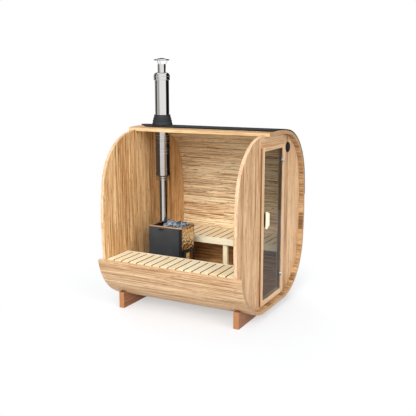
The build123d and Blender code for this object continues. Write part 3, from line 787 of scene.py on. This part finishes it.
# %% Door
door_parts = (
    ("door_pane", "door_glass", door_tint, "door_glass", 0.0015, "door"),
    ("door_grips", "door_handle_grips", bench_wood, "frame_wood", 0.004, "door"),
    ("door_grip_spacers", "door_handle_backing", black_moulding, "black_plastic", 0.002, "door"),
    ("hinge_clamps", "door_hinge_clamps", hinge_steel, "hinge_metal", 0.001, "door"),
    ("hinge_leaves", "door_hinge_plates", hinge_steel, "hinge_metal", 0.001, "sauna"),
)
for name, node, finish_used, slot, width, body in door_parts:
    part = copied(name, node)
    ease(part, width)
    coat(part, finish_used)
    if finish_used is bench_wood:
        lay_grain(part)
    fit(part, body, slot, node)

# %% [markdown]
# ## Roof sheet, stove and flue
# Sheet metal and castings are copied the same way, with edges eased by up to 4 mm. The roof sheet bends in
# many small steps, so its faces are joined only where they are flat to a hair. Its ends and its front
# edge are darker than its top.

# %% Roof, stove and flue
SHEET_FLAT = math.radians(0.02)
SHEET_EDGE = 0.6
hard_parts = (
    ("roof_sheet", "roof_cover", roof_felt, "roof_membrane", 0.004, "sauna"),
    ("stove_plinth", "stove_base", stove_paint, "stove_steel", 0.002, "sauna"),
    ("stove_mouth", "stove_face", fire_iron, "stove_steel", 0.001, "sauna"),
    ("stove_tray", "stone_tray", tray_iron, "stove_steel", 0.001, "sauna"),
    ("stove_shield", "stove_heat_shield", shield_steel, "shield_steel", 0.0015, "sauna"),
    ("stove_trim", "stove_rim", trim_steel, "shield_steel", 0.003, "sauna"),
    ("fire_door_casting", "fire_door_frame", fire_iron, "fire_door_iron", 0.003, "fire_door"),
    ("fire_door_pane", "fire_door_glass", fire_tint, "fire_glass", 0.0008, "fire_door"),
    ("fire_door_grip", "fire_door_handle", fire_iron, "fire_door_iron", 0.0015, "fire_door"),
    ("fire_hinge_lugs", "fire_hinge_brackets", fire_iron, "fire_door_iron", 0.001, "sauna"),
    ("bare_flue", "flue_pipe", room_steel, "flue_steel", 0.001, "sauna"),
    ("insulated_skin", "insulated_flue", room_steel, "flue_steel", 0.002, "sauna"),
    ("rubber_flashing", "roof_flashing", flashing_rubber, "flashing_rubber", 0.004, "sauna"),
    ("chimney_skin", "chimney_pipe", flue_steel, "flue_steel", 0.001, "sauna"),
    ("chimney_cowl", "chimney_adapter", flue_steel, "flue_steel", 0.003, "sauna"),
    ("cap_legs", "cap_struts", flue_steel, "flue_steel", 0.001, "sauna"),
    ("rain_hat", "rain_cap", flue_steel, "flue_steel", 0.002, "sauna"),
)
for name, node, finish_used, slot, width, body in hard_parts:
    part = copied(name, node, flat=SHEET_FLAT if finish_used is roof_felt else FLAT)
    ease(part, width)
    coat(part, finish_used)
    if finish_used is roof_felt:
        coat(part, tray_iron)
        for face in part.data.polygons:
            face.material_index = int(max(abs(face.normal.x), -face.normal.y) > SHEET_EDGE)
    fit(part, body, slot, node)

# %% [markdown]
# ## Stove shell
# The shell is folded from painted sheet. Its front corner is a separate darker post, parted from the side
# plate by a line, and a small moulded pull lines the slot at the top of the plate; the pull's near-black is
# a painted shade of the slot. The post is cut from the plate with one bisect, so that it stays flush, and
# the pull is a block with a pocket pressed into it.

# %% Stove shell
POST = 0.042
SHELL_EASE = 0.0025
shell = copied("stove_shell", "stove_casing")
shell_low, shell_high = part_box("stove_casing")
with editing(shell):
    bpy.ops.mesh.bisect(plane_co=(shell_high.x - POST, 0, 0), plane_no=(1, 0, 0))
ease(shell, SHELL_EASE)
coat(shell, stove_paint, tray_iron)
for face in shell.data.polygons:
    face.material_index = int(face.center.x > shell_high.x - POST)
post_faces = sum(face.material_index for face in shell.data.polygons)
print("post faces:", post_faces, "of", len(shell.data.polygons))
fit(shell, "sauna", "stove_steel", "stove_casing")

# %% Finger pull
PULL_SIZE = (0.086, 0.008, 0.018)
PULL_ASIDE = 0.06
PULL_SUNK = 0.001
PULL_DROP = 0.03
PULL_LIP = 0.002
PULL_SLOPE = 0.001
PULL_DEPTH = 0.005
PULL_EASE = 0.0012
shell_middle = (shell_low.x + shell_high.x) / 2
pull_place = (shell_middle - PULL_ASIDE, shell_low.y + PULL_SUNK, shell_high.z - PULL_DROP)
bpy.ops.object.select_all(action="DESELECT")
bpy.ops.mesh.primitive_cube_add(size=1, location=pull_place, scale=PULL_SIZE)
pull = bpy.context.object
pull.name = "finger_pull"
settle(pull)
with editing(pull, lambda mesh, face: face.normal.y < -FACING):
    bpy.ops.mesh.inset(thickness=PULL_LIP, depth=0)
    bpy.ops.mesh.inset(thickness=PULL_SLOPE, depth=-PULL_DEPTH)
ease(pull, PULL_EASE)
# The pull's near-black finish is a painted shade of the slot.
coat(pull, pull_black)
fit(pull, "sauna", "stove_steel")

# %% [markdown]
# ## Beads, seams and screws
# Thin sheet is stiffened by rolled beads and closed by a folded seam, and the collar is pulled tight by a
# small screw. A bead is a ring pressed a little taller than it is thick. These details are small, but
# polished metal shows each of them as a line of light. The rubber flashing has moulded ribs, and the
# vent's face is stepped into rings, by insets that go in and out in turn.

# %% Beads on the flue
BEAD = 0.0022
BEAD_STRETCH = 1.5
BEAD_SIDES, BEAD_ROUND = 64, 10
BEAD_CREASE = 60
BEAD_HEIGHTS = (2.085, 2.055, 2.025, 1.995, 1.90, 1.86, 1.56, 1.53)
COLLAR_BEAD = 0.003
COLLAR_RISES = (0.004, 0.044)
flue_low, flue_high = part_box("flue_pipe")
FLUE_AXIS = (flue_low + flue_high) / 2


def bead(radius, height, thickness, stretch=BEAD_STRETCH):
    """One rolled ring round the flue's axis."""
    place = (FLUE_AXIS.x, FLUE_AXIS.y, height)
    bpy.ops.object.select_all(action="DESELECT")
    bpy.ops.mesh.primitive_torus_add(
        location=place, major_radius=radius, minor_radius=thickness,
        major_segments=BEAD_SIDES, minor_segments=BEAD_ROUND,
    )
    ring = bpy.context.object
    settle(ring)
    with editing(ring):
        bpy.ops.transform.resize(value=(1, 1, stretch), center_override=place)
    smooth(ring, BEAD_CREASE)
    return ring


def joined(name, pieces):
    """Join loose pieces into one object at the origin."""
    bpy.ops.object.select_all(action="DESELECT")
    for piece in pieces:
        piece.select_set(True)
    bpy.context.view_layer.objects.active = pieces[0]
    if len(pieces) > 1:
        bpy.ops.object.join()
    whole = bpy.context.object
    whole.name = name
    settle(whole)
    return whole


skin_low, skin_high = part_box("insulated_flue")
stack_low, stack_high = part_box("chimney_pipe")
cowl_low, cowl_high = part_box("chimney_adapter")
SKIN = (stack_high.x - stack_low.x) / 2
COWL = (cowl_high.x - cowl_low.x) / 2
rings = [bead(SKIN, height, BEAD) for height in BEAD_HEIGHTS]
rings += [bead(COWL, cowl_low.z + rise, COLLAR_BEAD) for rise in COLLAR_RISES]
beads = joined("flue_beads", rings)
coat(beads, flue_steel)
fit(beads, "sauna", "flue_steel")

# %% Folded seam and collar screw
SEAM_TURN = math.radians(-77)
SEAM_PROUD, SEAM_WIDTH = 0.002, 0.007
SEAM_EASE = 0.0006
STACK_SEAM_SHORT = (0.06, 0.004)
SKIN_SEAM_SHORT = (0.09, 0.10)
BARE_SEAM_SHORT = (0.02, 0.005)
SCREW_SIDES = 24
SCREW_RADIUS, SCREW_LENGTH = 0.008, 0.01
SCREW_PROUD = 0.003
SCREW_RISE = 0.026
SCREW_RIM, SCREW_SOCKET = 0.0028, 0.003
SCREW_EASE = 0.0007
way = Vector((math.cos(SEAM_TURN), math.sin(SEAM_TURN), 0))
BARE = (flue_high.x - flue_low.x) / 2
SEAM_RUNS = (
    (SKIN, stack_low.z, stack_high.z, STACK_SEAM_SHORT),
    (SKIN, skin_low.z, skin_high.z, SKIN_SEAM_SHORT),
    (BARE, flue_low.z, skin_low.z, BARE_SEAM_SHORT),
)


def at_flue(radius, height):
    """A place on the flue's seam line."""
    return Vector((FLUE_AXIS.x, FLUE_AXIS.y, height)) + way * radius


seams = []
for radius, bottom, top, (short_below, short_above) in SEAM_RUNS:
    low, high = bottom + short_below, top - short_above
    bpy.ops.object.select_all(action="DESELECT")
    bpy.ops.mesh.primitive_cube_add(
        size=1, location=at_flue(radius, (low + high) / 2), rotation=(0, 0, SEAM_TURN),
        scale=(SEAM_PROUD, SEAM_WIDTH, high - low),
    )
    seam = bpy.context.object
    settle(seam)
    ease(seam, SEAM_EASE)
    seams.append(seam)
bpy.ops.object.select_all(action="DESELECT")
bpy.ops.mesh.primitive_cylinder_add(
    vertices=SCREW_SIDES, radius=SCREW_RADIUS, depth=SCREW_LENGTH,
    location=at_flue(COWL + SCREW_PROUD, cowl_low.z + SCREW_RISE), rotation=(0, math.radians(90), SEAM_TURN),
)
screw = bpy.context.object
settle(screw)
with editing(screw, lambda mesh, face: face.normal.dot(way) > FACING):
    bpy.ops.mesh.inset(thickness=SCREW_RIM, depth=-SCREW_SOCKET)
ease(screw, SCREW_EASE)
folds = joined("flue_seams", [*seams, screw])
coat(folds, flue_steel)
fit(folds, "sauna", "flue_steel")

# %% Ribs on the flashing
boot_low, boot_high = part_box("roof_flashing")
BOOT_FOOT = (boot_high.x - boot_low.x) / 2
BOOT_NECK = 0.101
BOOT_SKIRT_SHARE = 0.22
RIB_SHARES = (0.46, 0.66, 0.97)
RIB, RIB_STRETCH = 0.003, 1.3
ribs = []
for share in RIB_SHARES:
    height = boot_low.z + share * (boot_high.z - boot_low.z)
    climb = (share - BOOT_SKIRT_SHARE) / (1 - BOOT_SKIRT_SHARE)
    radius = BOOT_FOOT + (BOOT_NECK - BOOT_FOOT) * climb
    ribs.append(bead(radius, height, RIB, RIB_STRETCH))
boot_ribs = joined("flashing_ribs", ribs)
coat(boot_ribs, flashing_rubber)
fit(boot_ribs, "sauna", "flashing_rubber")

# %% Vent grille
VENT_BORDER = ((0.007, 0), (0.003, -0.006))
VENT_RINGS = ((0.008, 0), (0.003, 0.005), (0.008, 0), (0.003, -0.005), (0.008, 0), (0.003, 0.005))
VENT_CREASE = 30
VENT_FACING = 0.95
VENT_SKIN = 0.001
vent = copied("round_vent", "wall_vent")
VENT_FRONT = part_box("wall_vent")[1].x


def is_vent_face(mesh, face):
    """Whether a face is the front of the vent."""
    return face.normal.x > VENT_FACING and face.center.x > VENT_FRONT - VENT_SKIN


with editing(vent, is_vent_face):
    for thickness, depth in VENT_BORDER + VENT_RINGS:
        bpy.ops.mesh.inset(thickness=thickness, depth=depth)
smooth(vent, VENT_CREASE)
coat(vent, black_moulding)
fit(vent, "sauna", "black_plastic", "wall_vent")

# %% Hinge screws
HEAD_RADIUS, HEAD_DEPTH = 0.005, 0.003
HEAD_ASIDE = 0.009
HEAD_RIM, HEAD_SOCKET = 0.0018, 0.0012
HEAD_EASE = 0.0005
HEAD_SIDES = 20


def shells(piece):
    """The box of each separate shell of a piece."""
    groups = {}
    for vertex, number in zip(piece.data.vertices, board_numbers(piece.data)):
        groups.setdefault(number, []).append(vertex.co)
    return [
        (Vector([min(p[k] for p in g) for k in range(3)]), Vector([max(p[k] for p in g) for k in range(3)]))
        for g in groups.values()
    ]


def screw_head(low, high):
    """A socket screw on the outer face of a hinge half."""
    place = (high.x, (low.y + high.y) / 2 - HEAD_ASIDE, (low.z + high.z) / 2)
    bpy.ops.object.select_all(action="DESELECT")
    bpy.ops.mesh.primitive_cylinder_add(
        vertices=HEAD_SIDES, radius=HEAD_RADIUS, depth=HEAD_DEPTH, location=place,
        rotation=(0, math.radians(90), 0),
    )
    head = bpy.context.object
    settle(head)
    with editing(head, lambda mesh, face: face.normal.x > FACING):
        bpy.ops.mesh.inset(thickness=HEAD_RIM, depth=-HEAD_SOCKET)
    ease(head, HEAD_EASE)
    return head


for name, node, body in (
    ("clamp_screws", "door_hinge_clamps", "door"),
    ("leaf_screws", "door_hinge_plates", "sauna"),
):
    scratch = copied("scratch", node)
    outer = [(low, high) for low, high in shells(scratch) if high.x >= pane_high.x]
    bpy.data.objects.remove(scratch)
    screws = joined(name, [screw_head(low, high) for low, high in outer])
    coat(screws, hinge_steel)
    fit(screws, body, "hinge_metal")

# %% [markdown]
# ## Stones
# The stove carries a heap of split rock that holds the heat. Each rock starts as a ball and is chiselled
# by flat cuts, then its edges are worn. A few rocks are modelled and the heap is made of copies, turned
# and sized by seeded dice so that it is the same every time. They stay inside the sides of the plain
# solid that they replace, and the top ones stand a little above it.

# %% Chiselled rocks
ROCK_KINDS = 5
ROCK_CUTS = 12
CUT_DEPTHS = (0.22, 0.36)
ROCK_FLAT = math.radians(14)
ROCK_EASE = 0.012
ROCK_CORNER = 18
TOO_SHORT = 0.1
dice = random.Random(11)


def chance_direction():
    """A direction with no favourite, by throwing again what falls outside the ball or near its middle."""
    while True:
        way = Vector([dice.uniform(-1, 1) for _ in range(3)])
        if TOO_SHORT < way.length < 1:
            return way.normalized()


def chiselled(name):
    """One rock, a metre across, with worn edges."""
    bpy.ops.object.select_all(action="DESELECT")
    bpy.ops.mesh.primitive_ico_sphere_add(subdivisions=3, radius=0.5)
    rock = bpy.context.object
    rock.name = name
    with editing(rock):
        for _ in range(ROCK_CUTS):
            way = chance_direction()
            bpy.ops.mesh.select_all(action="SELECT")
            bpy.ops.mesh.bisect(
                plane_co=way * dice.uniform(*CUT_DEPTHS), plane_no=way, use_fill=True, clear_outer=True
            )
        bpy.ops.mesh.select_all(action="SELECT")
        bpy.ops.mesh.dissolve_limited(angle_limit=ROCK_FLAT)
    ease(rock, ROCK_EASE, angle=ROCK_CORNER)
    return rock


kinds = [chiselled(f"rock_kind_{number}") for number in range(ROCK_KINDS)]
print("rock kinds:", [len(rock.data.polygons) for rock in kinds])

# %% The heap
LAYERS = ((0.05, 0.115), (0.10, 0.115), (0.15, 0.125))
ROWS = 3
STRAY = 0.1
LIFT = 0.01
TILT = 0.6
SIZES = (1.45, 1.75)
LENGTHS = (0.95, 1.2)
HEIGHTS = (0.5, 0.7)
HEAP_CROWN = 0.042
CROWN_PLAY = 0.03
heap_low, heap_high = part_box("stove_stones")


def placed_rock(column, row, rise, rock_size):
    """One copy of a rock, sized, turned and set in its place by the dice."""
    inset = Vector((rock_size, rock_size, 0)) * 0.5
    low, high = heap_low + inset, heap_high - inset
    size = rock_size * dice.uniform(*SIZES)
    x = low.x + (column + dice.uniform(-STRAY, STRAY)) / (ROWS - 1) * (high.x - low.x)
    y = low.y + (row + dice.uniform(-STRAY, STRAY)) / (ROWS - 1) * (high.y - low.y)
    rock = bpy.data.objects.new("rock", dice.choice(kinds).data.copy())
    bpy.context.scene.collection.objects.link(rock)
    rock.location = (x, y, heap_low.z + rise + dice.uniform(-LIFT, LIFT))
    rock.rotation_euler = (dice.uniform(-TILT, TILT), dice.uniform(-TILT, TILT), dice.uniform(0, math.tau))
    rock.scale = (size * dice.uniform(*LENGTHS), size, size * dice.uniform(*HEIGHTS))
    bpy.context.view_layer.update()
    return rock


def keep_in_heap(rock, is_top):
    """Push a rock back inside the heap's sides, and lift one of the top layer to the crown."""
    points = [rock.matrix_world @ vertex.co for vertex in rock.data.vertices]
    for axis in (0, 1):
        reach = [point[axis] for point in points]
        rock.location[axis] += max(0, heap_low[axis] - min(reach)) - max(0, max(reach) - heap_high[axis])
    if is_top:
        crown = heap_high.z + HEAP_CROWN - dice.uniform(0, CROWN_PLAY)
        rock.location.z += crown - max(point.z for point in points)


heap = []
for rise, rock_size in LAYERS:
    for column in range(ROWS):
        for row in range(ROWS):
            rock = placed_rock(column, row, rise, rock_size)
            keep_in_heap(rock, rise == LAYERS[-1][0])
            heap.append(rock)
stones = joined("stove_rocks", heap)
for rock in kinds:
    bpy.data.objects.remove(rock)
stones.data.materials.clear()
coat(stones, blue_stone)
fit(stones, "sauna", "stones", "stove_stones")

# %% [markdown]
# ## Floor, light and backdrop
# The picture is a studio shot on white: a pale floor that fades into the background, broad soft lamps
# from the front, the door side and behind, and fill from all round that is a little stronger from above.
# The world is white for the camera and in reflections, and dimmer as a light, so the wood keeps its
# written colour.

# %% Floor
FLOOR_SIZE = 80.0
FLOOR_WHITE = 0.45
FLOOR_FADE = (1.0, 2.5)
FLOOR_TONE = (0.88, 0.92, 0.96, 1.0)
WHITE = (1.0, 1.0, 1.0, 1.0)


def seen_directly(nodes):
    """One for the camera's own rays and those off gloss and through glass, zero for light on things."""
    kinds_seen = ("Camera", "Glossy", "Transmission")
    rays = [nodes.add("ShaderNodeLightPath", out=f"Is {kind} Ray") for kind in kinds_seen]
    return (rays[0] + rays[1] + rays[2]).rise(0.0, 1.0)


bpy.ops.object.select_all(action="DESELECT")
bpy.ops.mesh.primitive_plane_add(size=FLOOR_SIZE)
floor = bpy.context.object
floor.name = "studio_floor"
nodes = finish("studio_floor")
place = nodes.add("ShaderNodeTexCoord", out="Object")
reach = nodes.add("ShaderNodeVectorMath", {"operation": "LENGTH"}, {0: place}, out="Value")
lit = nodes.add("ShaderNodeBsdfDiffuse", None, {"Color": FLOOR_TONE})
white = nodes.add("ShaderNodeEmission", None, {"Color": WHITE, "Strength": 1.0})
share = (reach.rise(*FLOOR_FADE) * (1.0 - FLOOR_WHITE) + FLOOR_WHITE) * seen_directly(nodes)
mixed = nodes.add("ShaderNodeMixShader", None, {0: share, 1: lit, 2: white})
nodes.add("ShaderNodeOutputMaterial", None, {"Surface": mixed})
coat(floor, nodes.material)
print("floor", FLOOR_SIZE, "m")

# %% World and lamps
FILL = 0.16
FILL_ABOVE = 0.26
FILL_RISE = (-0.1, 1.1)
LAMPS = (
    ("front_key", -78, 26, 2.1, 36),
    ("high_key", -86, 52, 0.75, 36),
    ("door_side", -20, 28, 1.35, 46),
    ("back_left", 140, 40, 0.9, 50),
)
world = bpy.data.worlds.new("studio")
bpy.context.scene.world = world
world.use_nodes = True
nodes = Nodes(world.node_tree)
ray = nodes.add("ShaderNodeTexCoord", out="Generated")
height = nodes.add("ShaderNodeSeparateXYZ", None, {0: ray}, out="Z")
fill = height.rise(*FILL_RISE) * FILL_ABOVE + FILL
seen = seen_directly(nodes)
strength = seen + (1.0 - seen) * fill
sky = nodes.add("ShaderNodeBackground", None, {"Color": WHITE, "Strength": strength})
nodes.add("ShaderNodeOutputWorld", None, {"Surface": sky})


def soft_sun(name, turn, height, energy, spread):
    """A distant soft lamp: its turn round from +X and its height in degrees, its strength and its width."""
    bpy.ops.object.select_all(action="DESELECT")
    bpy.ops.object.light_add(type="SUN", rotation=(math.radians(90 - height), 0, math.radians(turn + 90)))
    lamp = bpy.context.object
    lamp.name = name
    lamp.data.energy = energy
    lamp.data.angle = math.radians(spread)
    lamp.visible_glossy = False


for lamp in LAMPS:
    soft_sun(*lamp)
print("fill", FILL, "and", FILL_ABOVE, "from above;", len(LAMPS), "lamps")

# %% [markdown]
# Grey cards, which show in reflections alone, paint dark reflections that give polished metal its dark
# edges. Tall ones stand round the sauna, for the chimney: a row gives a card's turn round from +X, its
# width and its level of grey. Small ones stand in the room, for the flue, and are tinted like the wood, as
# painted reflections of the shaded room: a row gives a card's place, the way it faces, its width, the
# height of its top and its level of grey.

# %% Grey cards
CARDS = (
    ("right_card", 36.0, 7.0, 0.006), ("far_card", 88.0, 9.0, 0.02), ("back_card", 140.0, 9.0, 0.16),
    ("left_card", -166.0, 4.0, 0.03), ("grey_card", -126.0, 5.0, 0.5),
)
CARD_REACH = 6.0
CARD_HEIGHT = 9.0
CARD_SOFT = 0.14
CARD_TINT = (1.0, 1.0, 1.0)
ROOM_CARDS = (
    ("room_left_card", (-0.835, -0.24), 0.0, 1.26, 2.12, 0.11),
    ("room_back_card", (0.0, 0.54), -90.0, 1.66, 2.05, 0.014),
    ("room_door_card", (0.835, 0.30), 180.0, 0.48, 2.05, 0.014),
)
ROOM_CARD_FOOT = 0.82
ROOM_CARD_SOFT = 0.02
# The wood tint of the room cards' painted reflections.
ROOM_TINT = (1.0, 0.72, 0.54)


def card_finish(name, level, soft, tint):
    """A matt grey card with soft edges, unlit so that it keeps its level."""
    nodes = finish(name)
    place = nodes.add("ShaderNodeTexCoord", out="Object")
    across = nodes.add("ShaderNodeSeparateXYZ", None, {0: place}, out="X")
    edge = across.rise(-0.5, soft - 0.5) * (1.0 - across.rise(0.5 - soft, 0.5))
    colour = (*(level * part for part in tint), 1.0)
    grey = nodes.add("ShaderNodeEmission", None, {"Color": colour})
    clear = nodes.add("ShaderNodeBsdfTransparent")
    mixed = nodes.add("ShaderNodeMixShader", None, {0: edge, 1: clear, 2: grey})
    nodes.add("ShaderNodeOutputMaterial", None, {"Surface": mixed})
    return nodes.material


def stand_card(name, place, facing, size, level, soft, tint):
    """An upright card that shows in reflections alone."""
    bpy.ops.object.select_all(action="DESELECT")
    bpy.ops.mesh.primitive_plane_add(
        size=1, location=place, rotation=(math.radians(90), 0, math.radians(facing + 90))
    )
    card = bpy.context.object
    card.name = name
    card.scale = (size[0], size[1], 1)
    coat(card, card_finish(name, level, soft, tint))
    card.visible_camera = False
    card.visible_diffuse = False
    card.visible_transmission = False
    card.visible_shadow = False


for name, turn, width, level in CARDS:
    way = math.radians(turn)
    place = (CARD_REACH * math.cos(way), CARD_REACH * math.sin(way), CARD_HEIGHT / 2)
    stand_card(name, place, turn, (width, CARD_HEIGHT), level, CARD_SOFT, CARD_TINT)
for name, (x, y), facing, width, top, level in ROOM_CARDS:
    place = (x, y, (ROOM_CARD_FOOT + top) / 2)
    size = (width, top - ROOM_CARD_FOOT)
    stand_card(name, place, facing, size, level, ROOM_CARD_SOFT, ROOM_TINT)
print("cards:", [card[0] for card in CARDS + ROOM_CARDS])

# %% [markdown]
# ## Closing
# The view transform is Standard, so a colour comes out as it was written.

# %% Close
bpy.context.scene.view_settings.view_transform = "Standard"
